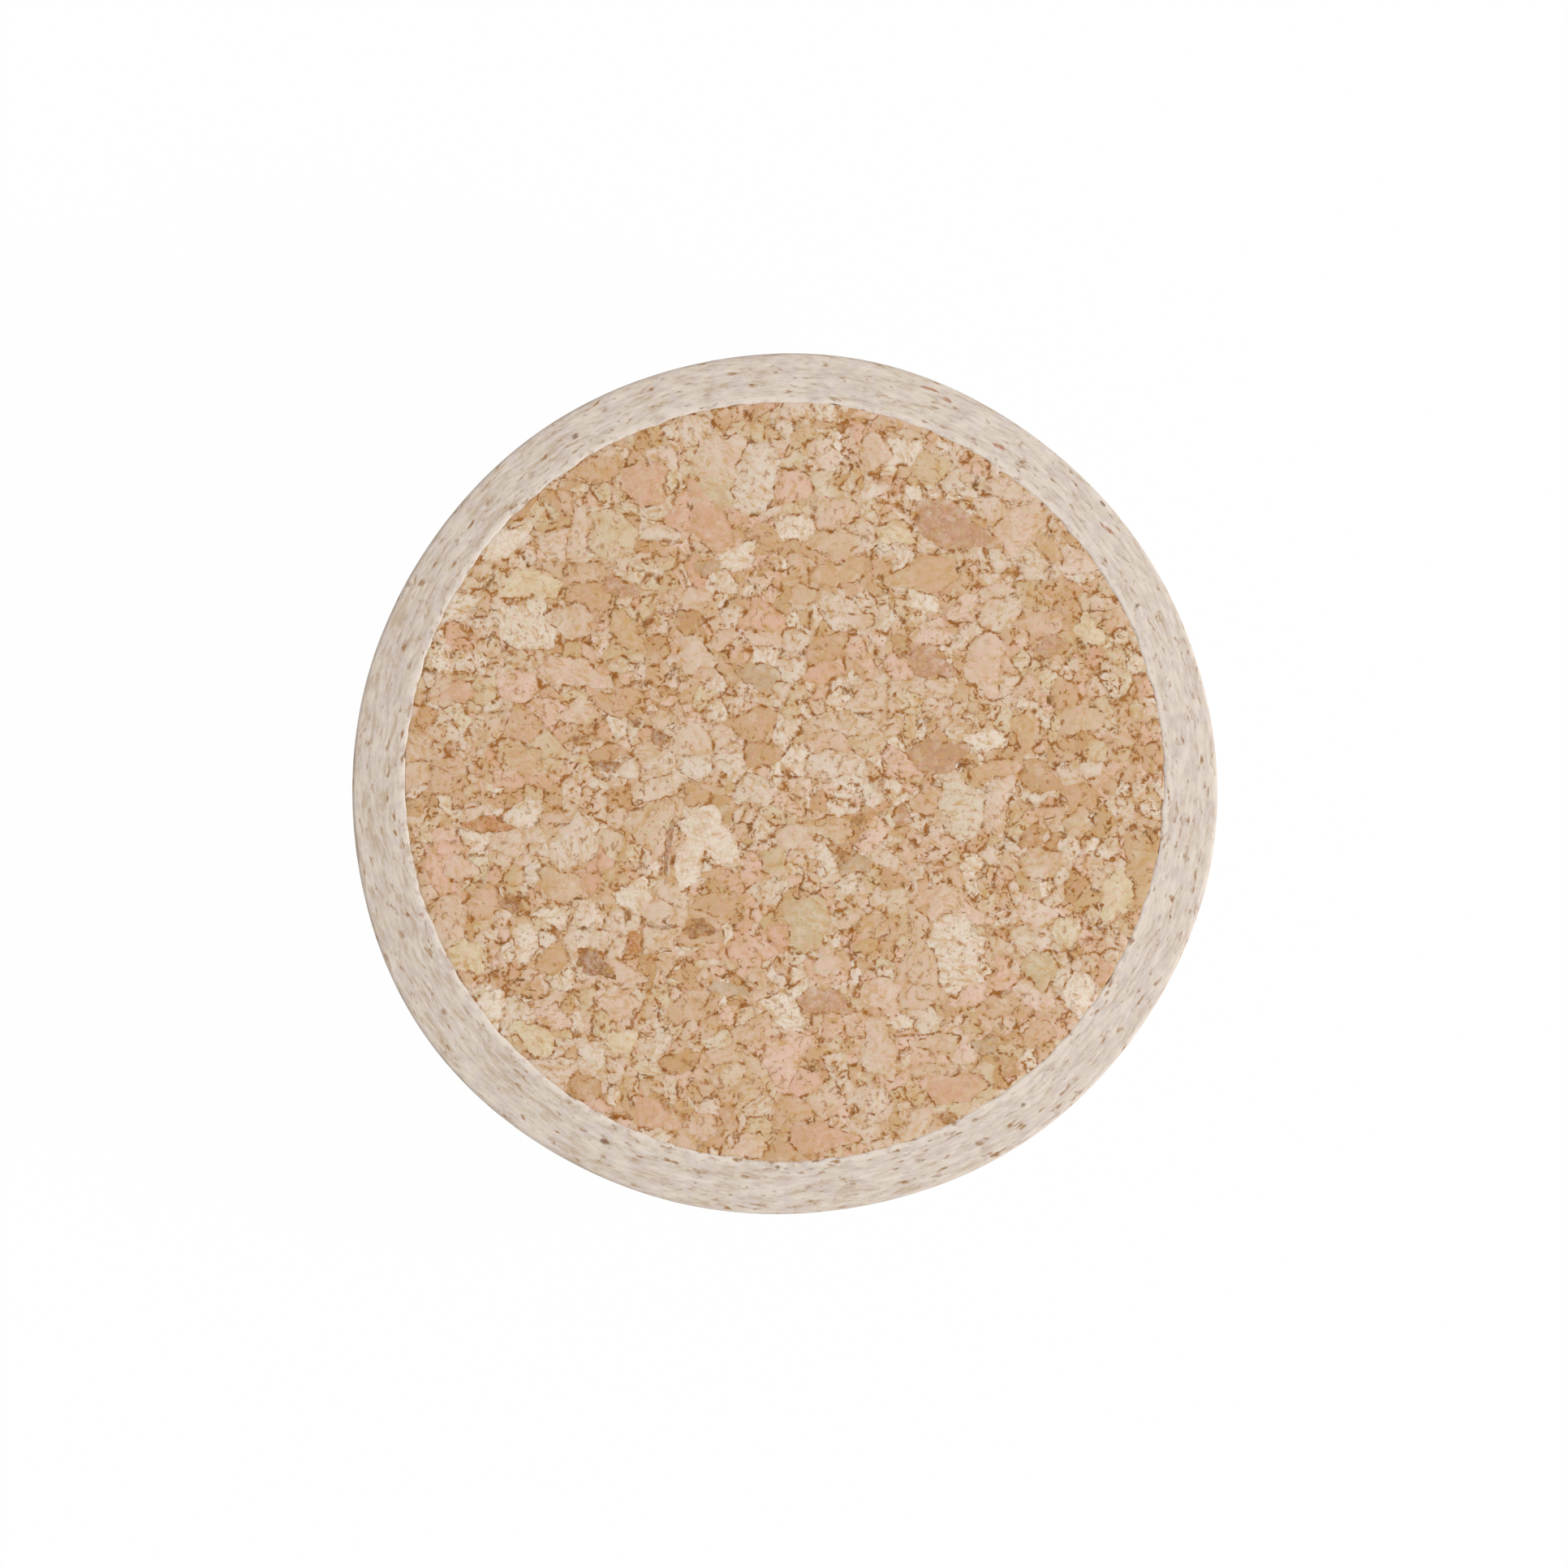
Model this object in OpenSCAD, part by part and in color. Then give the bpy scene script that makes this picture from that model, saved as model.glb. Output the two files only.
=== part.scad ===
// Tapered cork stopper with a stoneware collar bonded round its upper end.
// Millimetres, +Z up, origin at the centre of the cork's bottom face.

/* [Cork plug] */
// Diameter of the cork at its top face
cork_top_d = 44; // [30:0.5:70]
// Diameter of the cork at its bottom face
cork_bottom_d = 38; // [24:0.5:64]
// Length of the cork from face to face
cork_length = 30; // [20:0.5:60]
// Rounding of the cork's bottom edge
bottom_round = 1; // [0.2:0.1:2]
// Width of the narrow bevel round the cork's top face
top_bevel = 0.1; // [0.05:0.05:0.5]

/* [Stoneware collar] */
// Width of the collar's ring at its top, averaged round the ring
wall = 3; // [1.8:0.1:8]
// Height of the collar from its seat to its upper edge
collar_height = 11; // [5:0.5:18]
// Film of glue between the cork and the bore, on the radius
glue_gap = 0.08; // [0.02:0.01:0.2]
// How far the collar's upper edge stands above the cork's top face
edge_rise = 0.15; // [0:0.05:0.6]
// Outward fall of the collar's top, in degrees
top_fall = 4; // [0:1:20]
// Rounding of the bore's upper edge
inner_round = 0.15; // [0.1:0.05:0.5]
// Rounding of the collar's upper outer edge
shoulder_round = 0.2; // [0.2:0.1:0.9]
// Rounding of the collar's lower outer edge
seat_round = 0.8; // [0.3:0.1:0.9]
// Swell of the collar's wall at half its height
belly = 0.05; // [0:0.05:0.8]

/* [Hand-thrown outline] */
// How far the collar's outline stands off the cork's axis
off_centre = 0.26; // [0:0.02:0.6]
// Direction of the thickest wall, in degrees from +X
thick_side = 253; // [0:1:359]
// Depth of the outline's oval
oval = 0.1; // [0:0.01:0.4]
// Direction of the oval's long axis, in degrees from +X
oval_side = 27; // [0:1:179]
// Depth of the outline's three-cornered waver
three_waver = 0.14; // [0:0.01:0.4]
// Direction of its first corner, in degrees from +X
three_side = 97; // [0:1:119]
// Depth of the outline's five-cornered waver
five_waver = 0.04; // [0:0.01:0.2]
// Direction of its first corner, in degrees from +X
five_side = 2; // [0:1:71]
// Depth of the eight small flats left by trimming
trim_flats = 0.035; // [0:0.005:0.1]
// Direction of the first rise between two flats, in degrees from +X
trim_side = 34; // [0:1:44]

/* [Hidden] */

// Rays round the outline and steps along each rounded edge.
RAYS = 96;
ROUND_STEPS = 4;
WALL_STEPS = 6;
// What a cutter overruns the solid that it cuts.
OVERRUN = 1;
ROUND_FN = 96;

taper = (cork_top_d - cork_bottom_d) / 2 / cork_length;
collar_top = cork_length + edge_rise;
collar_seat = collar_top - collar_height;

// Radius of the bore at height z: the cork's cone and the glue round it.
function bore_r(z) = cork_bottom_d / 2 + taper * z + glue_gap;

// Each wave of the outline: [waves round the ring, depth, direction].
WAVES = [
    [1, off_centre, thick_side],
    [2, oval, oval_side],
    [3, three_waver, three_side],
    [5, five_waver, five_side],
    [8, trim_flats, trim_side],
];

function sum(list, i = 0) = i < len(list) ? list[i] + sum(list, i + 1) : 0;

// Widest radius of the collar in direction a.
function outer_r(a) =
    cork_top_d / 2 + wall + sum([for (w = WAVES) w[1] * cos(w[0] * (a - w[2]))]);

// Points [r, z] of an arc about [r, z], from angle a0 to a1.
function arc(centre, radius, a0, a1) = [
    for (i = [0:ROUND_STEPS])
        let (a = a0 + (a1 - a0) * i / ROUND_STEPS)
        centre + radius * [cos(a), sin(a)]
];

// The wall's bulging flank at radius r, from height z1 down to z0, ends left out.
function flank(r, z1, z0) = [
    for (i = [1:WALL_STEPS - 1])
        let (t = i / WALL_STEPS)
        [r - belly + belly * sin(180 * t), z1 + (z0 - z1) * t]
];

// The collar's section in direction a, from inside the bore over the top to the seat.
function section(a) =
    let (
        edge = [bore_r(collar_top) + inner_round, collar_top - inner_round],
        wall_r = outer_r(a) - belly,
        shoulder_r = wall_r - shoulder_round,
        top_end_r = shoulder_r + shoulder_round * sin(top_fall),
        top_start = edge + inner_round * [sin(top_fall), cos(top_fall)],
        top_end_z = top_start[1] - (top_end_r - top_start[0]) * tan(top_fall),
        shoulder = [shoulder_r, top_end_z - shoulder_round * cos(top_fall)],
        foot = [wall_r - seat_round, collar_seat + seat_round]
    )
    concat(
        [[bore_r(collar_seat) - OVERRUN, edge[1]]],
        arc(edge, inner_round, 180, 90 - top_fall),
        arc(shoulder, shoulder_round, 90 - top_fall, 0),
        flank(outer_r(a), shoulder[1], foot[1]),
        arc(foot, seat_round, 0, -90),
        [[bore_r(collar_seat) - OVERRUN, collar_seat]]
    );

// A closed ring through one section per ray.
module ring_loft() {
    sections = [for (i = [0:RAYS - 1]) section(360 * i / RAYS)];
    n = len(sections[0]);
    points = [
        for (i = [0:RAYS - 1], p = sections[i])
            let (a = 360 * i / RAYS)
            [p[0] * cos(a), p[0] * sin(a), p[1]]
    ];
    function at(i, j) = (i % RAYS) * n + j % n;
    faces = [
        for (i = [0:RAYS - 1], j = [0:n - 1], half = [0, 1])
            half == 0
                ? [at(i, j), at(i + 1, j), at(i + 1, j + 1)]
                : [at(i, j), at(i + 1, j + 1), at(i, j + 1)]
    ];
    polyhedron(points, faces, convexity = 4);
}

// One cork cone with a bevelled top edge and a rounded bottom edge.
module cork_plug() {
    bottom_r = cork_bottom_d / 2;
    top_r = cork_top_d / 2;
    color("burlywood")
    rotate_extrude($fn = ROUND_FN)
    difference() {
        polygon([
            [0, 0],
            [bottom_r, 0],
            [top_r - taper * top_bevel, cork_length - top_bevel],
            [top_r - top_bevel, cork_length],
            [0, cork_length],
        ]);
        bottom_edge_waste(bottom_r);
    }
}

// What the rounding takes off the bottom edge of the cork's half section.
module bottom_edge_waste(edge_r) {
    lean = atan(taper);
    centre = [edge_r - bottom_round * tan(45 - lean / 2), bottom_round];
    difference() {
        polygon([
            [centre[0], -OVERRUN],
            [edge_r + OVERRUN, -OVERRUN],
            centre + (bottom_round + OVERRUN) * [cos(lean), -sin(lean)],
            centre,
        ]);
        translate(centre) circle(r = bottom_round, $fn = ROUND_FN);
    }
}

// A thick wavering ring, bored to the cork's own taper.
module stoneware_collar() {
    z0 = collar_seat - OVERRUN;
    z1 = collar_top + OVERRUN;
    color("lightgray")
    difference() {
        ring_loft();
        translate([0, 0, z0])
        cylinder(h = z1 - z0, r1 = bore_r(z0), r2 = bore_r(z1), $fn = ROUND_FN);
    }
}

cork_plug();
stoneware_collar();
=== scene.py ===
import math

import bpy
import numpy as np
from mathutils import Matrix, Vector


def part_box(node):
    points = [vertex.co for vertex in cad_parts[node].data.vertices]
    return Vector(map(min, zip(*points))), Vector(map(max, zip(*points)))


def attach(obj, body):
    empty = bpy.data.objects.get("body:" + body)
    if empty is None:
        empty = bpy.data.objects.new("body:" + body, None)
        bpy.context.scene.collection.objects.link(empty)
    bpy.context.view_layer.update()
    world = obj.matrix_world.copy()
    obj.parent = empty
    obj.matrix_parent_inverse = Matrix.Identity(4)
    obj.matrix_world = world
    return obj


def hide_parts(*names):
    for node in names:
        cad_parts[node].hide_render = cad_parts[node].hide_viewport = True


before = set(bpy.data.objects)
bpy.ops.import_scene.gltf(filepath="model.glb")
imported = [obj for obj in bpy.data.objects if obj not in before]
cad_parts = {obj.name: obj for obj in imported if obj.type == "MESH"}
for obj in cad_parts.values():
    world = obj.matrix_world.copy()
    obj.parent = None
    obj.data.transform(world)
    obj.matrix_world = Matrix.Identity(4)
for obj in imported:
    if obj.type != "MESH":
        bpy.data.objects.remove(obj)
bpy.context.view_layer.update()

bl_info = {
    "name": "Cork stopper with stoneware collar",
    "version": (1, 0, 0),
    "blender": (4, 5, 0),
    "location": "View3D > Sidebar > Stopper",
    "description": "Models a tapered cork stopper glued into a hand-thrown stoneware collar",
    "category": "Add Mesh",
}

MM = 0.001
# Nearer than this is the same place.
TOUCH = 1e-6
_, CORK_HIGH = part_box("cork_plug")
COLLAR_LOW, COLLAR_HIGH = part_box("stoneware_collar")


def linear(red, green, blue):
    """An 8-bit display colour as the linear colour with alpha that sockets take."""

    def channel(level):
        level = level / 255
        return level / 12.92 if level <= 0.04045 else ((level + 0.055) / 1.055) ** 2.4

    return (channel(red), channel(green), channel(blue), 1.0)


# ---------------------------------------------------------------- sizes and colours


def length(name, description, default):
    return bpy.props.FloatProperty(
        name=name,
        description=description,
        default=default,
        min=0,
        subtype="DISTANCE",
        unit="LENGTH",
    )


def bearing(name, description, degrees):
    return bpy.props.FloatProperty(
        name=name,
        description=description,
        default=math.radians(degrees),
        subtype="ANGLE",
        unit="ROTATION",
    )


def tint(name, description, red, green, blue):
    return bpy.props.FloatVectorProperty(
        name=name,
        description=description,
        default=linear(red, green, blue),
        size=4,
        min=0,
        max=1,
        subtype="COLOR",
    )


class StopperShape(bpy.types.PropertyGroup):
    """Sizes of the cork and its collar."""

    cork_top: length("Cork top radius", "Radius of the cork at its top face", CORK_HIGH.x)
    cork_bottom: length("Cork bottom radius", "Radius of the cork at its bottom face", 19 * MM)
    cork_length: length("Cork length", "Length of the cork from face to face", CORK_HIGH.z)
    bottom_round: length("Bottom rounding", "Rounding of the cork's bottom edge", 1 * MM)
    swell: length("Swell", "How far the cork's face has swollen up", 0.1 * MM)
    top_bevel: length("Top bevel", "Bevel round the cork's top face", 0.1 * MM)
    wall: length("Wall", "Average width of the collar's ring", 3 * MM)
    collar_top: length("Collar top", "Height of the collar's upper edge", COLLAR_HIGH.z)
    collar_seat: length("Collar seat", "Height of the collar's flat underside", COLLAR_LOW.z)
    glue_gap: length("Glue film", "Film between the cork and the bore", 0.08 * MM)
    inner_round: length("Inner rounding", "Rounding of the bore's upper edge", 0.15 * MM)
    shoulder_round: length("Shoulder rounding", "Rounding of the upper outer edge", 0.2 * MM)
    seat_round: length("Seat rounding", "Rounding of the lower outer edge", 0.8 * MM)
    belly: length("Belly", "Swell of the wall at half its height", 0.05 * MM)
    top_fall: bearing("Top fall", "Outward fall of the collar's top", 4)
    off_centre: length("Off centre", "How far the outline stands off the cork's axis", 0.26 * MM)
    thick_side: bearing("Thick side", "Direction of the thickest wall", 253)
    oval: length("Oval", "Depth of the outline's oval", 0.1 * MM)
    oval_side: bearing("Oval side", "Direction of the oval's long axis", 27)
    three_waver: length("Three-cornered waver", "Depth of the three-cornered waver", 0.14 * MM)
    three_side: bearing("Three side", "Direction of its first corner", 97)
    five_waver: length("Five-cornered waver", "Depth of the five-cornered waver", 0.04 * MM)
    five_side: bearing("Five side", "Direction of its first corner", 2)
    trim_flats: length("Trimming flats", "Depth of the eight small flats", 0.035 * MM)
    trim_side: bearing("Trim side", "Direction of the first rise between flats", 34)


class StopperTints(bpy.types.PropertyGroup):
    """Colours of the cork's granules and of the fired clay."""

    dark: tint("Dark granules", "Darkest of the common granules", 193, 150, 110)
    tan: tint("Tan granules", "Darker common granules", 205, 167, 133)
    fawn: tint("Fawn granules", "Most of the common granules", 218, 193, 171)
    buff: tint("Buff granules", "Paler common granules", 223, 207, 190)
    cream: tint("Cream granules", "Palest granules", 232, 217, 199)
    wheat: tint("Wheat granules", "Plain brown granules", 212, 183, 154)
    straw: tint("Straw granules", "Yellow granules", 222, 204, 172)
    rose: tint("Rose granules", "Pink granules", 221, 192, 170)
    salmon: tint("Salmon granules", "Orange-pink granules", 212, 168, 140)
    russet: tint("Russet granules", "Red-brown granules", 189, 143, 113)
    golden: tint("Golden granules", "Golden brown granules", 208, 173, 136)
    olive: tint("Olive granules", "Greenish granules", 203, 181, 145)
    slate: tint("Grey granules", "Grey-brown granules", 190, 162, 132)
    umber: tint("Umber granules", "Dark brown granules", 152, 100, 60)
    rust: tint("Rust granules", "Orange-red granules", 185, 119, 71)
    # also painted as shade on the granules' rims
    blush: tint("Blush", "Pink cast of some granules", 224, 176, 156)
    moss: tint("Moss", "Greenish cast of some granules", 206, 186, 142)
    stain_and_rim_shade: tint("Stain", "Brown stain in the grain of each granule", 200, 156, 98)
    bark: tint("Bark", "Bark and torn edges between the granules", 160, 101, 42)
    old_bark: tint("Old bark", "Darkest bark", 142, 84, 28)
    grey_bark: tint("Grey bark", "Greyed bark", 130, 88, 44)
    # the pale and dark clay are laid out with painted light, paler towards the lamp's side at +X
    clay: tint("Clay", "Fired clay of the collar", 217, 203, 187)
    # also painted as a highlight on the lip round the cork
    clay_pale_and_lip_highlight: tint("Pale clay", "Raised streaks of the clay", 229, 216, 203)
    clay_dark: tint("Dark clay", "Dragged streaks of the clay", 194, 173, 150)
    clay_pink: tint("Pink clay", "Patches of clay that fired cooler", 211, 196, 187)
    sand: tint("Sand", "Grains of brown sand in the clay", 160, 120, 80)
    iron: tint("Iron", "Iron specks in the clay", 120, 80, 46)
    red_iron: tint("Red iron", "Red-brown iron specks", 172, 112, 80)


# ---------------------------------------------------------------- node maths


class Value:
    """One output of a node. Arithmetic on it adds Math nodes to its graph."""

    def __init__(self, graph, socket):
        self.graph = graph
        self.socket = socket

    def output(self, name):
        """Another output of the same node."""
        return Value(self.graph, self.socket.node.outputs[name])

    def __add__(self, other):
        return self.graph.math("ADD", self, other)

    def __sub__(self, other):
        return self.graph.math("SUBTRACT", self, other)

    def __rsub__(self, other):
        return self.graph.math("SUBTRACT", other, self)

    def __mul__(self, other):
        return self.graph.math("MULTIPLY", self, other)

    def __truediv__(self, other):
        return self.graph.math("DIVIDE", self, other)

    def __lt__(self, other):
        return self.graph.math("LESS_THAN", self, other)

    def __abs__(self):
        return self.graph.math("ABSOLUTE", self)


class Graph:
    """A node tree, for materials and for Geometry Nodes alike."""

    def __init__(self, tree):
        self.tree = tree

    def add(self, kind, settings=None, inputs=None, output=0):
        """Adds a node, sets it up, fills or links its inputs, and gives one of its outputs."""
        node = self.tree.nodes.new(kind)
        for name, setting in (settings or {}).items():
            if name == "stops":
                self.set_stops(node.color_ramp, setting)
            else:
                setattr(node, name, setting)
        for key, value in (inputs or {}).items():
            if isinstance(value, Value):
                self.tree.links.new(value.socket, node.inputs[key])
            else:
                node.inputs[key].default_value = value
        return Value(self, node.outputs[output]) if output is not None else None

    @staticmethod
    def set_stops(ramp, stops):
        while len(ramp.elements) < len(stops):
            ramp.elements.new(1.0)
        for element, (position, colour) in zip(ramp.elements, stops):
            element.position = position
            element.color = colour

    def math(self, operation, *operands):
        return self.add("ShaderNodeMath", {"operation": operation}, dict(enumerate(operands)))

    def vector(self, operation, *operands, **named):
        inputs = dict(enumerate(operands))
        inputs.update(named)
        return self.add("ShaderNodeVectorMath", {"operation": operation}, inputs)

    def size(self, vector):
        return self.vector("LENGTH", vector).output("Value")

    def combine(self, x, y, z):
        return self.add("ShaderNodeCombineXYZ", None, {"X": x, "Y": y, "Z": z})

    def parts(self, vector):
        split = self.add("ShaderNodeSeparateXYZ", None, {0: vector})
        return [split.output(axis) for axis in "XYZ"]

    # A Mix node has sockets for each type of data under the same names, so they are told by number.

    def mix(self, factor, first, second):
        """Mixes two colours."""
        inputs = {0: factor, 6: first, 7: second}
        return self.add("ShaderNodeMix", {"data_type": "RGBA"}, inputs, 2)

    def blend(self, factor, first, second):
        """Mixes two vectors."""
        inputs = {0: factor, 4: first, 5: second}
        return self.add("ShaderNodeMix", {"data_type": "VECTOR"}, inputs, 1)

    def between(self, factor, first, second):
        """Mixes two numbers."""
        inputs = {0: factor, 2: first, 3: second}
        return self.add("ShaderNodeMix", {"data_type": "FLOAT"}, inputs, 0)

    def ramp(self, value, stops):
        return self.add("ShaderNodeValToRGB", {"stops": stops}, {0: value})

    def ease(self, value, start, end, low=0.0, high=1.0):
        """low up to start, high from end on, and an eased step between."""
        inputs = {"Value": value, "From Min": start, "From Max": end, "To Min": low, "To Max": high}
        return self.add("ShaderNodeMapRange", {"interpolation_type": "SMOOTHSTEP"}, inputs)

    def noise(self, point, grain, detail=2.0, roughness=0.5, output=0, **inputs):
        """Noise whose lumps are about grain millimetres apart."""
        settings = {"noise_dimensions": "4D" if "W" in inputs else "3D"}
        inputs.update(Vector=point, Scale=1 / grain, Detail=detail, Roughness=roughness)
        return self.add("ShaderNodeTexNoise", settings, inputs, output)

    def cells(self, point, grain, feature="F1", output="Distance"):
        """Cells that are about grain millimetres wide."""
        inputs = {"Vector": point, "Scale": 1 / grain}
        return self.add("ShaderNodeTexVoronoi", {"feature": feature}, inputs, output)

    def attribute(self, name, output):
        """A value that lay_singles stored at the piece's points."""
        return self.add("ShaderNodeAttribute", {"attribute_name": name}, output=output)

    def stray(self, point, drift, reach):
        """The point moved by a noise colour, by up to about a quarter of reach each way."""
        centred = self.vector("SUBTRACT", drift, (0.5, 0.5, 0.5))
        return self.vector("MULTIPLY_ADD", centred, (reach, reach, reach), point)


# ---------------------------------------------------------------- single grains

# Further than any seam or single grain reaches, in millimetres.
FAR = 9.0
# Waves of a single grain's outline: how many knobs go round it, and their height as a share of its radius.
KNOBS = ((2, 0.06), (3, 0.12), (4, 0.1), (5, 0.07), (7, 0.04))
# Turns the knobs from one grain to the next, in radians.
KNOB_TURN = 2.4


def lay_singles(piece, singles, tints):
    """Stores at each point of a piece the way to the nearest single grain, in millimetres, and its tint."""
    count = len(piece.data.vertices)
    points = np.empty(3 * count, np.float32)
    piece.data.vertices.foreach_get("co", points)
    points = points.reshape(-1, 3) / MM
    below = np.maximum(CORK_HIGH.z / MM - points[:, 2], 0)
    nearest = np.full(count, FAR)
    colours = np.ones((count, 4))
    for number, (x, y, half_length, half_width, turn, name) in enumerate(singles):
        angle = math.radians(turn)
        right, up = points[:, 0] - x, points[:, 1] - y
        along = (right * math.cos(angle) + up * math.sin(angle)) / half_length
        across = (up * math.cos(angle) - right * math.sin(angle)) / half_width
        # a knobbly outline, different for each grain
        heading = np.arctan2(across, along)
        knobs = 1.0
        for corners, depth in KNOBS:
            knobs = knobs + depth * np.cos(corners * heading + KNOB_TURN * number * corners)
        middle = np.maximum(np.hypot(along, across), TOUCH)
        reach = np.hypot(right, up) * (1 - knobs / middle) + below
        closer = reach < nearest
        nearest[closer] = reach[closer]
        colours[closer] = getattr(tints, name)
    for name, kind, field, values in (
        ("single_reach", "FLOAT", "value", nearest),
        ("single_tint", "FLOAT_COLOR", "color", colours),
    ):
        stored = piece.data.attributes
        attribute = stored.get(name) or stored.new(name, kind, "POINT")
        attribute.data.foreach_set(field, values.astype(np.float32).ravel())


# ---------------------------------------------------------------- cork

# The grain inside a granule is turned by up to this angle, in radians.
GRAIN_TURN = 31.0

# Granule grades from coarse to fine: size in millimetres, stretch of the cells, and share that stays whole.
GRADES = ((2.5, (1.0, 0.8, 1.1), 0.1), (1.7, (0.85, 1.15, 1.0), 0.45), (1.1, (1.1, 0.9, 1.0), 1.0))

# Single granules in the top face: x, y, half length and half width in millimetres, turn in degrees, tint.
SINGLES = (
    (-16.3, 13.8, 1.5, 0.9, 30, "cream"),
    (-14.6, 11.4, 1.8, 0.9, -5, "straw"),
    (-8.1, 17.2, 1.5, 1.2, -40, "salmon"),
    (-3.9, 18.4, 1.9, 1.4, 85, "fawn"),
    (-4.3, 15.0, 2.1, 1.0, -60, "salmon"),
    (-2.7, 13.0, 1.1, 0.8, 20, "cream"),
    (-4.4, 12.4, 0.9, 0.4, 0, "slate"),
    (-9.4, 11.2, 1.3, 0.5, -10, "russet"),
    (-12.3, 6.3, 1.9, 0.9, -10, "rose"),
    (-18.8, 5.2, 0.9, 0.7, 0, "salmon"),
    (-15.2, 1.3, 1.2, 0.8, -30, "golden"),
    (-1.4, 6.1, 1.3, 0.8, -10, "slate"),
    (-10.3, 0.9, 0.9, 0.3, -5, "umber"),
    (9.6, 14.8, 2.3, 1.3, -28, "russet"),
    (13.6, 14.7, 1.8, 1.1, 35, "rose"),
    (15.3, 13.5, 1.2, 0.5, -50, "golden"),
    (6.4, 14.4, 1.1, 0.7, 0, "straw"),
    (8.2, 12.0, 1.9, 1.1, 10, "golden"),
    (3.2, 12.1, 1.7, 0.7, 10, "golden"),
    (5.2, 19.1, 1.2, 0.8, 80, "fawn"),
    (17.6, 8.7, 1.1, 0.7, -40, "straw"),
    (8.4, 6.9, 1.3, 1.0, -20, "russet"),
    (11.6, 6.9, 1.8, 1.2, 80, "rose"),
    (14.0, 3.0, 1.3, 0.7, 85, "golden"),
    (12.0, 0.7, 1.4, 0.5, 15, "golden"),
    (11.6, 2.4, 1.2, 0.6, 0, "cream"),
    (8.8, 1.5, 1.6, 1.0, 0, "russet"),
    (17.8, 0.7, 0.8, 0.5, 0, "buff"),
    (-4.4, -3.0, 1.8, 1.2, -35, "cream"),
    (-5.5, -4.6, 1.6, 0.9, 75, "cream"),
    (-6.7, -3.8, 1.7, 0.17, 83, "umber"),
    (-8.7, -6.6, 1.1, 0.9, 10, "cream"),
    (-7.5, -7.5, 1.2, 0.7, -5, "fawn"),
    (-8.7, -9.3, 0.7, 0.5, 80, "rust"),
    (-11.0, -10.5, 1.1, 0.7, -35, "umber"),
    (-15.7, -7.1, 0.7, 0.5, -35, "umber"),
    (-17.2, -2.5, 1.5, 0.4, -3, "rust"),
    (-18.4, -10.1, 1.1, 1.0, 0, "straw"),
    (-14.4, -14.9, 1.3, 0.9, -35, "straw"),
    (-9.4, -15.1, 0.9, 0.8, 0, "straw"),
    (-7.5, -19.2, 1.6, 0.8, -30, "salmon"),
    (-3.2, -12.0, 1.4, 0.35, -5, "slate"),
    (-5.0, -8.5, 0.8, 0.6, 0, "umber"),
    (-2.0, -21.1, 1.0, 0.8, 0, "rose"),
    (1.3, -8.1, 1.8, 1.3, 80, "olive"),
    (14.8, -10.8, 1.1, 1.0, -20, "olive"),
    (19.2, -6.6, 1.4, 1.0, 80, "straw"),
    (14.9, -4.7, 1.3, 1.0, 0, "wheat"),
    (9.1, -6.8, 1.0, 1.0, 0, "rose"),
    (2.5, -10.5, 0.9, 0.8, 0, "fawn"),
    (2.2, -12.7, 1.5, 0.8, 0, "russet"),
    (9.0, -15.1, 1.2, 0.6, 0, "wheat"),
    (11.6, -15.3, 0.8, 0.5, 0, "slate"),
    (13.1, -16.4, 1.0, 0.5, -35, "dark"),
    (9.8, -17.7, 1.9, 0.9, 10, "salmon"),
    (2.0, -20.6, 1.8, 0.9, 0, "salmon"),
    (4.2, -4.8, 0.9, 0.6, 0, "slate"),
    (18.6, -11.0, 0.9, 0.5, 50, "salmon"),
    (-3.9, 17.0, 1.1, 1.0, 0, "olive"),
    (-12.3, 9.3, 1.2, 1.1, 0, "fawn"),
    (-9.2, 8.7, 1.4, 0.7, -60, "golden"),
    (-5.2, 7.3, 1.2, 1.0, 90, "fawn"),
    (-7.2, 2.5, 0.6, 0.4, 0, "umber"),
    (-11.9, 2.4, 0.5, 0.35, 20, "umber"),
    (-11.8, 4.0, 1.0, 0.8, 0, "rose"),
    (7.5, 16.7, 0.6, 0.5, 90, "cream"),
    (2.9, 13.8, 1.6, 0.8, 0, "wheat"),
    (4.3, 9.3, 0.9, 0.5, 0, "fawn"),
    (1.0, 10.7, 0.8, 0.8, 0, "wheat"),
    (17.2, 3.6, 1.3, 0.9, 0, "wheat"),
    (15.5, 7.8, 1.0, 0.6, 10, "russet"),
    (-3.2, -4.3, 0.8, 0.7, 0, "cream"),
    (-9.0, -7.5, 0.6, 0.2, 75, "umber"),
    (-11.2, -15.9, 1.1, 0.9, 90, "buff"),
    (-9.6, -12.9, 1.3, 0.7, 0, "rose"),
    (-13.0, -6.0, 1.3, 1.0, 0, "wheat"),
    (-18.8, -5.0, 0.9, 0.8, 0, "rose"),
    (-0.6, -4.6, 0.9, 0.8, 90, "olive"),
    (17.0, -2.4, 0.9, 0.8, 0, "wheat"),
    (5.6, -12.3, 1.3, 1.0, 0, "rose"),
    (6.7, -13.9, 0.9, 0.4, 0, "cream"),
    (3.3, -4.6, 0.7, 0.3, 90, "umber"),
    (6.8, -2.0, 0.7, 0.5, 90, "russet"),
    (5.5, -15.5, 2.0, 0.9, 105, "fawn"),
    (0.6, -3.2, 1.1, 0.8, 0, "fawn"),
    (3.0, -2.8, 0.9, 0.8, 0, "wheat"),
    (9.5, -19.5, 0.5, 0.3, 0, "umber"),
    (-6.7, -18.7, 1.9, 0.1, -37, "bark"),
    (-7.0, -8.4, 1.0, 0.1, 0, "old_bark"),
)


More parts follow.
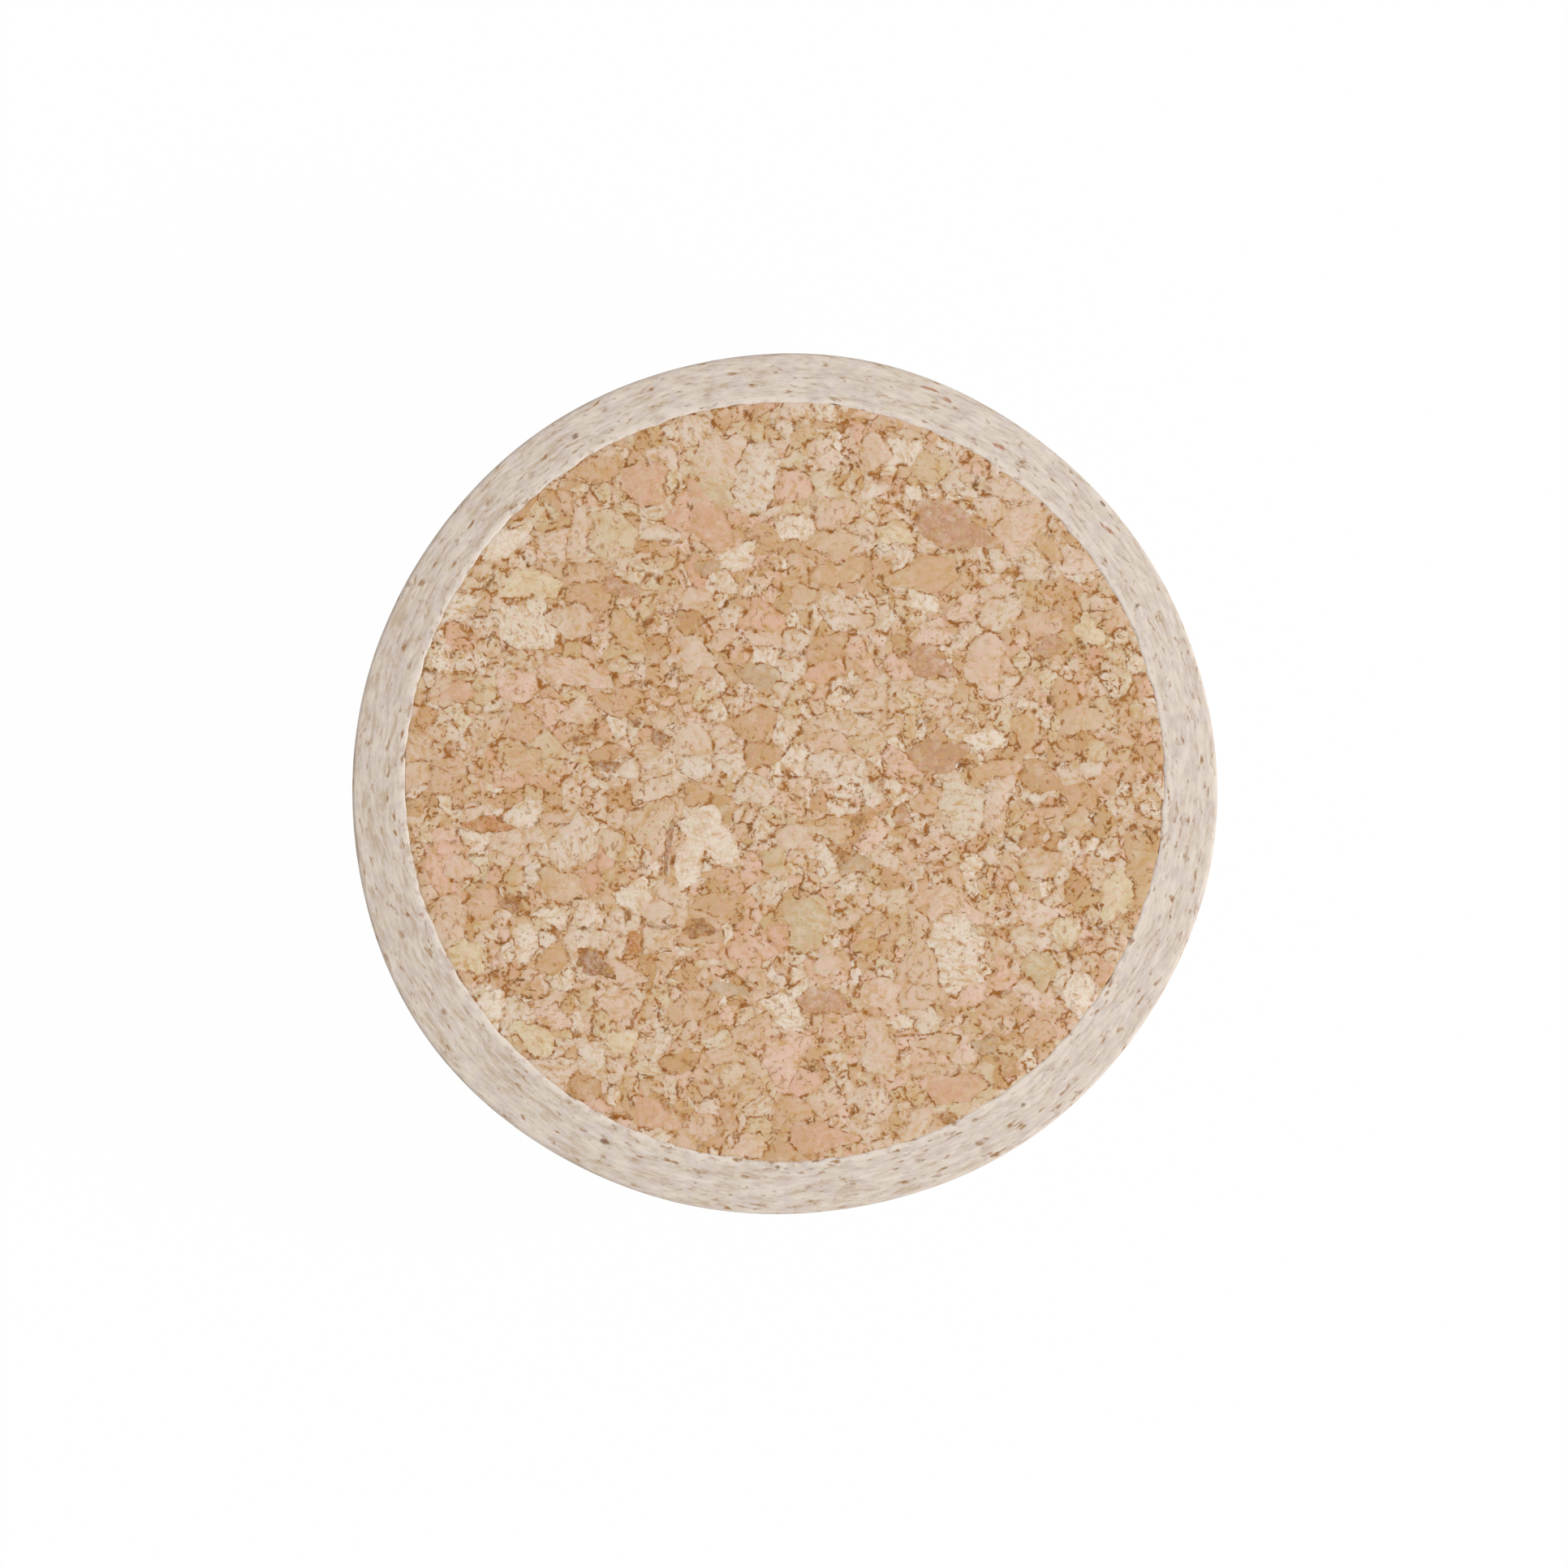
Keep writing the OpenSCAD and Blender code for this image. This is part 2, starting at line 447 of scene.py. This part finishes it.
def cork_granules(graph, point, reach):
    """The granule at a point in millimetres.

    Gives its three random numbers, the way to its edge, whether it is large, whether it is a single one,
    and the point moved by the raggedness of the edges. reach is the way to the nearest single granule.
    """
    sway = graph.noise(point, 2.2, 1.0, output="Color")
    jag = graph.noise(point, 0.45, 2.0, 0.6, output="Color")
    torn = graph.stray(graph.stray(point, jag, 0.34), sway, 1.3)
    chance = edge = None
    large = 0.0
    for size, stretch, share in reversed(GRADES):
        cell = graph.vector("MULTIPLY", torn, stretch)
        lot = graph.cells(cell, size, output="Color")
        rim = graph.cells(cell, size, "DISTANCE_TO_EDGE") * size
        if chance is None:
            chance, edge = lot, rim
            continue
        whole = graph.parts(lot)[0] < share
        chance = graph.blend(whole, chance, lot)
        edge = graph.between(whole, edge, rim)
        large = graph.between(whole, large, 1.0)
    reach = reach + (graph.parts(jag)[2] - 0.5) * 0.7
    single = graph.ease(reach, 0.04, -0.04)
    edge = graph.math("MINIMUM", edge + single * FAR, abs(reach))
    return chance, edge, large, single, torn


def cork_seams(graph, point, edge):
    """How plain the seam round a granule is, from 0 to 1, in broken lines."""
    broken = graph.noise(point, 0.6, 3.0, 0.7)
    width = graph.ease(broken, 0.48, 0.72, 0.1, 0.25)
    line = graph.ease(edge / width, 1.0, 0.0)
    return line * graph.ease(broken, 0.45, 0.6, 0.12, 1.0)


def cork_colour(graph, point, tints):
    """Colour of sanded agglomerated cork at a point in millimetres, and how far it is cracked."""
    reach = graph.attribute("single_reach", "Fac")
    chance, edge, large, single, torn = cork_granules(graph, point, reach)
    turn, tone, hue = graph.parts(chance)
    common = [
        (0.0, tints.dark),
        (0.12, tints.tan),
        (0.4, tints.fawn),
        (0.8, tints.buff),
        (1.0, tints.cream),
    ]
    base = graph.ramp(tone, common)
    base = graph.mix(graph.ease(hue, 0.68, 1.0) * 0.6, base, tints.blush)
    base = graph.mix(graph.ease(hue, 0.32, 0.0) * 0.5, base, tints.moss)
    # the single granules keep tints of their own
    mottle = graph.noise(point, 0.5, 3.0, 0.75)
    tinted = graph.attribute("single_tint", "Color")
    base = graph.mix(single * graph.ease(mottle, 0.36, 0.58, 0.55, 1.0), base, tinted)
    # a fine pink and greenish cast over all of them
    cast = graph.noise(point, 0.28, 1.0, 0.7)
    base = graph.mix(graph.ease(cast, 0.52, 0.7) * 0.45, base, tints.blush)
    base = graph.mix(graph.ease(cast, 0.48, 0.3) * 0.45, base, tints.moss)
    # each granule has a grain in its own direction
    rotation = {"Vector": point, "Angle": turn * GRAIN_TURN}
    turned = graph.add("ShaderNodeVectorRotate", {"rotation_type": "Z_AXIS"}, rotation)
    grain = graph.noise(graph.vector("MULTIPLY", turned, (0.7, 1.6, 1.0)), 0.55, 2.0, 0.75)
    base = graph.mix(graph.ease(grain, 0.53, 0.27) * 0.8, base, tints.stain_and_rim_shade)
    # clouds of brown and of cream, and browner rims, which are partly brown stain and partly painted shade
    # where the granules round off at their edges
    cloud = graph.noise(point, 1.3, 2.0, 0.7)
    rim = graph.ease(edge, 0.35, 0.05) * graph.ease(cloud, 0.62, 0.38)
    brown_and_rim_shade = graph.math("MAXIMUM", rim * 0.35, graph.ease(cloud, 0.46, 0.26) * 0.35)
    base = graph.mix(brown_and_rim_shade, base, tints.stain_and_rim_shade)
    base = graph.mix(graph.ease(cloud, 0.54, 0.74) * 0.3, base, tints.cream)
    # bark, dust and torn edges between the granules
    patch = graph.noise(point, 0.5, 3.0, 0.7)
    bend = abs(graph.noise(point, 0.6, 1.0, 0.6) - 0.5)
    soaked = graph.ease(bend, 0.22, 0.06) * graph.ease(patch, 0.46, 0.56)
    worm = graph.ease(bend, 0.08, 0.0) * graph.ease(patch, 0.51, 0.61)
    grit = graph.cells(torn, 0.7)
    spread = graph.parts(grit.output("Color"))[0]
    speck = graph.ease(grit * 0.7, graph.ease(spread, 0.6, 1.0, 0.02, 0.25), 0.0)
    whole = graph.math("MAXIMUM", large * 0.4, single * 0.8)
    base = graph.mix(soaked * (1 - whole) * 0.35, base, tints.stain_and_rim_shade)
    marks = graph.math("MAXIMUM", worm, speck) * (1 - whole)
    marks = graph.math("MAXIMUM", marks, cork_seams(graph, point, edge))
    barks = [(0.42, tints.bark), (0.6, tints.old_bark), (0.7, tints.grey_bark)]
    bark = graph.ramp(graph.noise(point, 0.9, 2.0), barks)
    return graph.mix(marks, base, bark), marks


def cork_height(graph, point):
    """Relief of the cork's skin in millimetres: open seams and slightly domed granules."""
    named = {"Name": "single_reach"}
    reach = graph.add("GeometryNodeInputNamedAttribute", {"data_type": "FLOAT"}, named)
    _, edge, *_ = cork_granules(graph, point, reach)
    crack = cork_seams(graph, point, edge * 0.6)
    dome = graph.ease(edge, 0.0, 0.35, 0.0, 0.02)
    return dome - crack * 0.04 - 0.03


def principled(graph, colour, roughness, specular, normal):
    inputs = {
        "Base Color": colour,
        "Roughness": roughness,
        "Specular IOR Level": specular,
        "Normal": normal,
    }
    return graph.add("ShaderNodeBsdfPrincipled", None, inputs)


def bumpy(graph, height, strength, depth):
    """A normal that rises and falls with a height between 0 and 1, by a depth in millimetres."""
    inputs = {"Strength": strength, "Distance": depth * MM, "Height": height}
    return graph.add("ShaderNodeBump", None, inputs)


def new_material(name):
    material = bpy.data.materials.new(name)
    material.use_nodes = True
    material.node_tree.nodes.clear()
    return material, Graph(material.node_tree)


def surface(graph, shader):
    graph.add("ShaderNodeOutputMaterial", None, {"Surface": shader}, None)


def millimetres(graph, place):
    return graph.vector("SCALE", place, Scale=1 / MM)


def surface_point(graph):
    """The place on the piece in millimetres, for a material."""
    return millimetres(graph, graph.add("ShaderNodeTexCoord", output="Object"))


def cork_material(tints):
    material, graph = new_material("agglomerated_cork")
    point = surface_point(graph)
    colour, crack = cork_colour(graph, point, tints)
    roughness = graph.ease(crack, 0.0, 1.0, 0.78, 0.95)
    normal = bumpy(graph, graph.noise(point, 0.16, 2.0, 0.7), 0.25, 0.06)
    surface(graph, principled(graph, colour, roughness, 0.15, normal))
    return material


# ---------------------------------------------------------------- stoneware

# Radius in millimetres of the circle that the collar's trimming marks are laid out on.
MARKS_CIRCLE = 23.5
# The dragged grains are read this far along the noise, so that they don't follow the fine marks.
APART = 40.0
# Painted light: how much paler the clay is painted with each millimetre towards +X, the lamp's side.
LAMP_SIDE_PALER_PER_MM = 0.0012

# Single specks in the collar's top: x, y, half length and half width in millimetres, turn in degrees, tint.
SPECKS = (
    (-10.4, -20.8, 0.26, 0.16, -25, "iron"),
    (-13.4, -20.9, 0.18, 0.12, 0, "sand"),
    (-10.5, -21.7, 0.16, 0.1, 0, "sand"),
    (13.8, -18.7, 0.16, 0.12, 60, "iron"),
    (15.8, -18.8, 0.28, 0.12, 35, "sand"),
    (11.3, -20.9, 0.26, 0.14, 10, "sand"),
    (-0.4, -22.3, 0.18, 0.12, 0, "iron"),
    (-19.7, -13.3, 0.22, 0.14, -40, "sand"),
    (-19.6, -15.7, 0.24, 0.1, -50, "sand"),
    (-21.0, -7.7, 0.16, 0.12, 0, "red_iron"),
    (-21.7, 11.4, 0.18, 0.13, 50, "iron"),
    (-21.0, 11.5, 0.24, 0.15, 60, "sand"),
    (-19.1, 12.6, 0.24, 0.1, 60, "sand"),
    (-12.1, 20.0, 0.22, 0.13, 45, "iron"),
    (8.4, 22.7, 0.6, 0.07, -20, "red_iron"),
    (9.4, 22.1, 0.35, 0.09, -35, "red_iron"),
    (12.4, 19.4, 0.45, 0.1, -25, "red_iron"),
    (18.7, 14.6, 0.5, 0.09, -40, "red_iron"),
    (18.4, 16.1, 0.28, 0.1, -50, "iron"),
    (20.4, 10.2, 0.14, 0.12, 0, "iron"),
)


def drag_marks(graph, point):
    """At a point in millimetres: the fine and the broad marks of trimming, and the grains they drag.

    The noises change quickly across the collar's skin and slowly round it, so they make long streaks.
    """
    x, y, z = graph.parts(point)
    flat = graph.combine(x, y, 0.0)
    around = graph.vector("SCALE", graph.vector("NORMALIZE", flat), Scale=MARKS_CIRCLE)
    drift = graph.noise(point, 5.0, 1.0)
    across = graph.size(flat) - z + drift * 0.7

    def streaks(along, roughness, place_across):
        stretched = graph.vector("SCALE", around, Scale=along)
        return graph.noise(stretched, 1.0, 2.0, roughness, W=place_across)

    fine = streaks(1.0, 0.7, across * 4.8)
    broad = streaks(0.4, 0.6, across * 2.0)
    dragged = streaks(1.1, 0.65, across * 3.4 + APART)
    return fine, broad, graph.ease(dragged, 0.56, 0.74)


def stoneware_material(tints):
    material, graph = new_material("speckled_stoneware")
    point = surface_point(graph)
    fine, broad, grains = drag_marks(graph, point)
    fired = graph.noise(point, 0.9, 3.0, 0.7)
    clay = graph.mix(graph.ease(fired, 0.6, 0.4), tints.clay, tints.clay_pink)
    # painted light: the streaks are painted paler towards +X, the lamp's side, and darker away from it
    x, y, _ = graph.parts(point)
    streaks_and_lamp_side_light = fine * 0.6 + broad * 0.4 + x * LAMP_SIDE_PALER_PER_MM
    clay = graph.mix(graph.ease(streaks_and_lamp_side_light, 0.49, 0.65) * 0.85, clay, tints.clay_pale_and_lip_highlight)
    clay = graph.mix(graph.ease(streaks_and_lamp_side_light, 0.51, 0.36) * 0.9, clay, tints.clay_dark)
    # painted highlight: the clay is painted pale along the lip round the cork, where its edge catches the
    # light
    lip = graph.size(graph.combine(x, y, 0.0)) - CORK_HIGH.x / MM
    painted_lip_highlight = graph.ease(lip, 0.5, 0.15) * graph.ease(fired, 0.36, 0.6)
    clay = graph.mix(painted_lip_highlight, clay, tints.clay_pale_and_lip_highlight)
    clay = graph.mix(grains, clay, tints.sand)
    speck = graph.ease(graph.attribute("single_reach", "Fac") + (fine - 0.5) * 0.1, 0.1, -0.1)
    clay = graph.mix(speck * 0.85, clay, graph.attribute("single_tint", "Color"))
    roughness = graph.ease(streaks_and_lamp_side_light, 0.3, 0.7, 0.9, 0.75)
    surface(graph, principled(graph, clay, roughness, 0.3, bumpy(graph, fine, 0.3, 0.04)))
    return material


def stoneware_height(graph, point):
    """Relief of the collar in millimetres: trimming marks, and pits that dragged grains left."""
    fine, broad, grains = drag_marks(graph, point)
    return (fine - 0.5) * 0.03 + (broad - 0.5) * 0.06 - grains * 0.02 - 0.01


# ---------------------------------------------------------------- modelling helpers


def clear_selection():
    if bpy.context.object and bpy.context.object.mode != "OBJECT":
        bpy.ops.object.mode_set(mode="OBJECT")
    bpy.ops.object.select_all(action="DESELECT")


def take(piece):
    """Makes a piece the only one selected, and the active one."""
    clear_selection()
    piece.select_set(True)
    bpy.context.view_layer.objects.active = piece


def select(piece, kind, test):
    """Selects the piece's vertices or edges whose ends pass a test, and goes to edit mode."""
    bpy.ops.object.mode_set(mode="EDIT")
    bpy.ops.mesh.select_all(action="DESELECT")
    bpy.ops.mesh.select_mode(type=kind)
    bpy.ops.object.mode_set(mode="OBJECT")
    mesh = piece.data
    if kind == "VERT":
        for vertex in mesh.vertices:
            vertex.select = test(vertex.co)
    else:
        for edge in mesh.edges:
            edge.select = test(*(mesh.vertices[end].co for end in edge.vertices))
    bpy.ops.object.mode_set(mode="EDIT")


def apply(piece, kind, **settings):
    """Adds a modifier and applies it."""
    take(piece)
    modifier = piece.modifiers.new(kind.lower(), kind)
    for name, setting in settings.items():
        setattr(modifier, name, setting)
    bpy.ops.object.modifier_apply(modifier=modifier.name)


def carve(piece, height):
    """Moves the piece's points along their normals, by a height in millimetres that a function gives."""
    tree = bpy.data.node_groups.new(piece.name + "_relief", "GeometryNodeTree")
    tree.interface.new_socket("Geometry", in_out="INPUT", socket_type="NodeSocketGeometry")
    tree.interface.new_socket("Geometry", in_out="OUTPUT", socket_type="NodeSocketGeometry")
    graph = Graph(tree)
    shape = graph.add("NodeGroupInput")
    normal = graph.add("GeometryNodeInputNormal")
    point = millimetres(graph, graph.add("GeometryNodeInputPosition"))
    offset = graph.vector("SCALE", normal, Scale=height(graph, point) * MM)
    moved = graph.add("GeometryNodeSetPosition", None, {"Geometry": shape, "Offset": offset})
    end = tree.nodes.new("NodeGroupOutput")
    tree.links.new(moved.socket, end.inputs[0])
    apply(piece, "NODES", node_group=tree)


def finish(piece, name, node, material):
    """Names and dresses a piece, hides the node of the part that it stands for, and hangs it under the
    root.
    """
    piece.name = name
    piece.data.name = name
    piece.data.materials.clear()
    piece.data.materials.append(material)
    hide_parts(node)
    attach(piece, "root")


# ---------------------------------------------------------------- pieces

# How finely the pieces are divided.
CORK_SIDES = 288
CORK_VOXEL = 0.16 * MM
CORK_TRIANGLES = 190000
COLLAR_STEPS = 720
# How far from the bore the clay's upper edge is smeared, and how often its ragged line goes in and out.
LIP_WIDTH = 0.6 * MM
LIP_WAVES = (19, 31, 47, 73, 101)


class STOPPER_OT_cork_plug(bpy.types.Operator):
    """Turn and sand the tapered cork"""

    bl_idname = "stopper.cork_plug"
    bl_label = "Cork plug"

    def execute(self, context):
        shape = context.scene.stopper_shape
        clear_selection()
        bpy.ops.mesh.primitive_cone_add(
            vertices=CORK_SIDES,
            radius1=shape.cork_bottom,
            radius2=shape.cork_top + shape.glue_gap,
            depth=shape.cork_length + shape.swell,
            location=(0, 0, (shape.cork_length + shape.swell) / 2),
        )
        cork = context.object
        bpy.ops.object.transform_apply(location=True)
        low, high = 0.25 * shape.cork_length, 0.75 * shape.cork_length
        select(cork, "EDGE", lambda a, b: a.z < low and b.z < low)
        bpy.ops.mesh.bevel(offset=shape.bottom_round, segments=6)
        select(cork, "EDGE", lambda a, b: a.z > high and b.z > high)
        bpy.ops.mesh.bevel(offset=shape.top_bevel, segments=2)
        bpy.ops.object.mode_set(mode="OBJECT")
        apply(cork, "REMESH", mode="VOXEL", voxel_size=CORK_VOXEL, adaptivity=0.0)
        # the singles are laid before the relief, which needs them, and again on the thinned mesh
        tints = context.scene.stopper_tints
        lay_singles(cork, SINGLES, tints)
        carve(cork, cork_height)
        apply(cork, "DECIMATE", ratio=CORK_TRIANGLES / (2 * len(cork.data.polygons)))
        lay_singles(cork, SINGLES, tints)
        bpy.ops.object.shade_smooth()
        finish(cork, "cork_granulate", "cork_plug", cork_material(tints))
        return {"FINISHED"}


def outline_waver(shape, angle):
    """How far the collar's outline stands out of its average circle in a direction."""
    waves = (
        (1, shape.off_centre, shape.thick_side),
        (2, shape.oval, shape.oval_side),
        (3, shape.three_waver, shape.three_side),
        (5, shape.five_waver, shape.five_side),
        (8, shape.trim_flats, shape.trim_side),
    )
    return sum(depth * np.cos(count * (angle - side)) for count, depth, side in waves)


class STOPPER_OT_stoneware_collar(bpy.types.Operator):
    """Throw, trim and fire the collar"""

    bl_idname = "stopper.stoneware_collar"
    bl_label = "Stoneware collar"

    def execute(self, context):
        shape = context.scene.stopper_shape
        clear_selection()
        taper = (shape.cork_top - shape.cork_bottom) / shape.cork_length
        bore_top = shape.cork_bottom + taper * shape.collar_top + shape.glue_gap
        bore_seat = shape.cork_bottom + taper * shape.collar_seat + shape.glue_gap
        outer = shape.cork_top + shape.wall - shape.belly
        fall = (outer - bore_top) * math.tan(shape.top_fall)
        corners = {
            (-1, -1): (bore_seat, shape.collar_seat, 0.0),
            (1, -1): (outer, shape.collar_seat, shape.seat_round),
            (1, 1): (outer, shape.collar_top - fall, shape.shoulder_round),
            (-1, 1): (bore_top, shape.collar_top, shape.inner_round),
        }
        bpy.ops.mesh.primitive_plane_add(size=2)
        collar = context.object
        for vertex in collar.data.vertices:
            radius, height, _ = corners[(round(vertex.co.x), round(vertex.co.y))]
            vertex.co = Vector((radius, 0, height))
        for radius, height, rounding in corners.values():
            if rounding:
                corner = Vector((radius, 0, height))
                select(collar, "VERT", lambda co: (co - corner).length < TOUCH)
                bpy.ops.mesh.bevel(offset=rounding, segments=8, affect="VERTICES")
        # the outer wall, the top and the seat are divided, and the bore and the roundings stay as they are
        middle = (bore_top + outer) / 2
        halfway = (shape.collar_top + shape.collar_seat) / 2
        short = 0.3 * (outer - bore_top)
        select(collar, "EDGE", lambda a, b: min(a.x, b.x) > middle and abs(a.z - b.z) > short)
        bpy.ops.mesh.subdivide(number_cuts=48)
        select(collar, "EDGE", lambda a, b: min(a.z, b.z) > halfway and abs(a.x - b.x) > short)
        bpy.ops.mesh.subdivide(number_cuts=20)
        select(collar, "EDGE", lambda a, b: max(a.z, b.z) < halfway and abs(a.x - b.x) > short)
        bpy.ops.mesh.subdivide(number_cuts=10)
        bpy.ops.mesh.select_all(action="SELECT")
        bpy.ops.mesh.delete(type="ONLY_FACE")
        bpy.ops.mesh.select_all(action="SELECT")
        bpy.ops.mesh.spin(steps=COLLAR_STEPS, angle=2 * math.pi, center=(0, 0, 0), axis=(0, 0, 1))
        bpy.ops.mesh.select_all(action="SELECT")
        bpy.ops.mesh.remove_doubles(threshold=TOUCH)
        bpy.ops.mesh.normals_make_consistent(inside=False)
        bpy.ops.object.mode_set(mode="OBJECT")
        self.waver(collar, shape, bore_top, outer)
        carve(collar, stoneware_height)
        tints = context.scene.stopper_tints
        lay_singles(collar, SPECKS, tints)
        bpy.ops.object.shade_smooth()
        finish(collar, "stoneware_ring", "stoneware_collar", stoneware_material(tints))
        return {"FINISHED"}

    @staticmethod
    def waver(collar, shape, bore, outer):
        """Swells the wall and lets its outline waver, and leaves the bore round."""
        points = np.empty(3 * len(collar.data.vertices), np.float32)
        collar.data.vertices.foreach_get("co", points)
        points = points.reshape(-1, 3)
        radius = np.hypot(points[:, 0], points[:, 1])
        angle = np.arctan2(points[:, 1], points[:, 0])
        share = np.clip((radius - bore) / (outer - bore), 0, 1)
        rise = (points[:, 2] - shape.collar_seat) / (shape.collar_top - shape.collar_seat)
        swell = shape.belly * np.sin(np.pi * np.clip(rise, 0, 1)) * (share > 0.9)
        # the bore's upper edge is smeared a little over the cork, in a ragged line
        lip = np.clip(1 - (radius - bore) / LIP_WIDTH, 0, 1)
        lip = lip * (points[:, 2] > shape.cork_length - 0.05 * MM)
        ragged = sum(np.cos(count * angle + 1.7 * count) for count in LIP_WAVES) / len(LIP_WAVES)
        grown = radius + share * outline_waver(shape, angle) + swell
        grown = grown - lip * (0.15 + 0.1 * ragged) * MM
        points[:, :2] *= (grown / radius)[:, None]
        collar.data.vertices.foreach_set("co", points.ravel())
        collar.data.update()


# ---------------------------------------------------------------- stage

FLOOR_WIDTH = 6.0
# How much of its own white the paper shows to the camera, and not on the stopper.
PAPER_GLOW = 0.98
ROOM_LIGHT = 0.6
LAMP_PLACE = Vector((0.76, -0.13, 0.81))
LAMP_AIM = Vector((0, 0, 0.03))
LAMP_WIDTH = 0.5
LAMP_POWER = 6.8
# The camera looks straight down from far away, so that the stopper shows almost no perspective.
CAMERA_PLACE = Vector((-0.03 * MM, -0.13 * MM, 2.549))
CAMERA_LENS = 1000


class STOPPER_OT_stage(bpy.types.Operator):
    """Lay the white floor and set the lamp, the room's light and the camera"""

    bl_idname = "stopper.stage"
    bl_label = "Stage"

    def execute(self, context):
        scene = context.scene
        clear_selection()
        bpy.ops.mesh.primitive_plane_add(size=FLOOR_WIDTH)
        floor = context.object
        floor.name = "white_table"
        material, graph = new_material("white_paper")
        white = graph.add("ShaderNodeBsdfDiffuse", None, {"Color": (0.96, 0.96, 0.96, 1)})
        glow = graph.add("ShaderNodeEmission", None, {"Color": (1, 1, 1, 1), "Strength": 1.0})
        path = graph.add("ShaderNodeLightPath")
        seen = path.output("Is Camera Ray") + path.output("Is Glossy Ray")
        seen = seen + path.output("Is Transmission Ray")
        paper = graph.add("ShaderNodeMixShader", None, {0: seen * PAPER_GLOW, 1: white, 2: glow})
        surface(graph, paper)
        floor.data.materials.append(material)

        world = bpy.data.worlds.new("soft_room")
        scene.world = world
        world.use_nodes = True
        background = world.node_tree.nodes["Background"]
        background.inputs["Color"].default_value = (1, 1, 1, 1)
        background.inputs["Strength"].default_value = ROOM_LIGHT

        bpy.ops.object.light_add(type="AREA", location=LAMP_PLACE)
        lamp = context.object
        lamp.name = "soft_box"
        lamp.data.shape = "DISK"
        lamp.data.size = LAMP_WIDTH
        lamp.data.energy = LAMP_POWER
        lamp.rotation_euler = (LAMP_AIM - lamp.location).to_track_quat("-Z", "Y").to_euler()

        bpy.ops.object.camera_add(location=CAMERA_PLACE, rotation=(0, 0, 0))
        camera = context.object
        camera.data.lens = CAMERA_LENS
        camera.data.sensor_width = 36
        camera.data.clip_end = 10
        scene.camera = camera
        scene.view_settings.view_transform = "Standard"
        return {"FINISHED"}


class STOPPER_PT_panel(bpy.types.Panel):
    """The stopper's pieces in the sidebar"""

    bl_label = "Cork stopper"
    bl_idname = "STOPPER_PT_panel"
    bl_space_type = "VIEW_3D"
    bl_region_type = "UI"
    bl_category = "Stopper"

    def draw(self, context):
        for operator in OPERATORS:
            self.layout.operator(operator.bl_idname)
        for group in (context.scene.stopper_shape, context.scene.stopper_tints):
            for name in group.__annotations__:
                self.layout.prop(group, name)


OPERATORS = (STOPPER_OT_cork_plug, STOPPER_OT_stoneware_collar, STOPPER_OT_stage)
CLASSES = (StopperShape, StopperTints, *OPERATORS, STOPPER_PT_panel)


def register():
    for cls in CLASSES:
        bpy.utils.register_class(cls)
    bpy.types.Scene.stopper_shape = bpy.props.PointerProperty(type=StopperShape)
    bpy.types.Scene.stopper_tints = bpy.props.PointerProperty(type=StopperTints)


def unregister():
    del bpy.types.Scene.stopper_shape
    del bpy.types.Scene.stopper_tints
    for cls in reversed(CLASSES):
        bpy.utils.unregister_class(cls)


def main():
    register()
    bpy.ops.stopper.cork_plug()
    bpy.ops.stopper.stoneware_collar()
    bpy.ops.stopper.stage()


if __name__ == "__main__":
    main()
